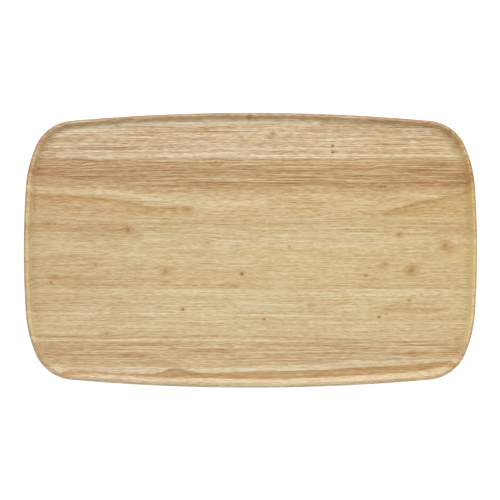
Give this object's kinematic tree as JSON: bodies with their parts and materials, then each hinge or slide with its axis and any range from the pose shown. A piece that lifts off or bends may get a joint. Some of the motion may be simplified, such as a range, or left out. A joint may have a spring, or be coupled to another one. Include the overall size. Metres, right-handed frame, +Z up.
{
  "type": "serving tray",
  "caption": "Flat serving tray of edge-glued solid wood with bowed sides, round corners, a low rolled rim round a sunk floor, and a finger bevel underneath.",
  "frame": {"origin": "centre of the flat underside, on the surface that the tray stands on", "axes": "+X along the tray's length, +Y across it to the back, +Z up out of the recess"},
  "size_m": [0.46, 0.279, 0.016],
  "materials": {
    "back_edge_wood": "clear satin oil on sanded light hardwood, even tan with fine grain",
    "back_wood": "clear satin oil on sanded light hardwood, reddish band that turns yellow towards the front",
    "centre_wood": "clear satin oil on sanded light hardwood, yellow with small knots",
    "front_wood": "clear satin oil on sanded light hardwood, pale yellow",
    "front_edge_wood": "clear satin oil on sanded light hardwood, brown bands under the rim",
    "glue": "cured wood glue, sanded flush with the staves"
  },
  "bodies": {
    "root": {"back_edge_stave": "back_edge_wood", "back_stave": "back_wood", "centre_stave": "centre_wood", "front_stave": "front_wood", "front_edge_stave": "front_edge_wood", "back_edge_glue_line": "glue", "back_glue_line": "glue", "front_glue_line": "glue", "front_edge_glue_line": "glue"}
  },
  "joints": []
}
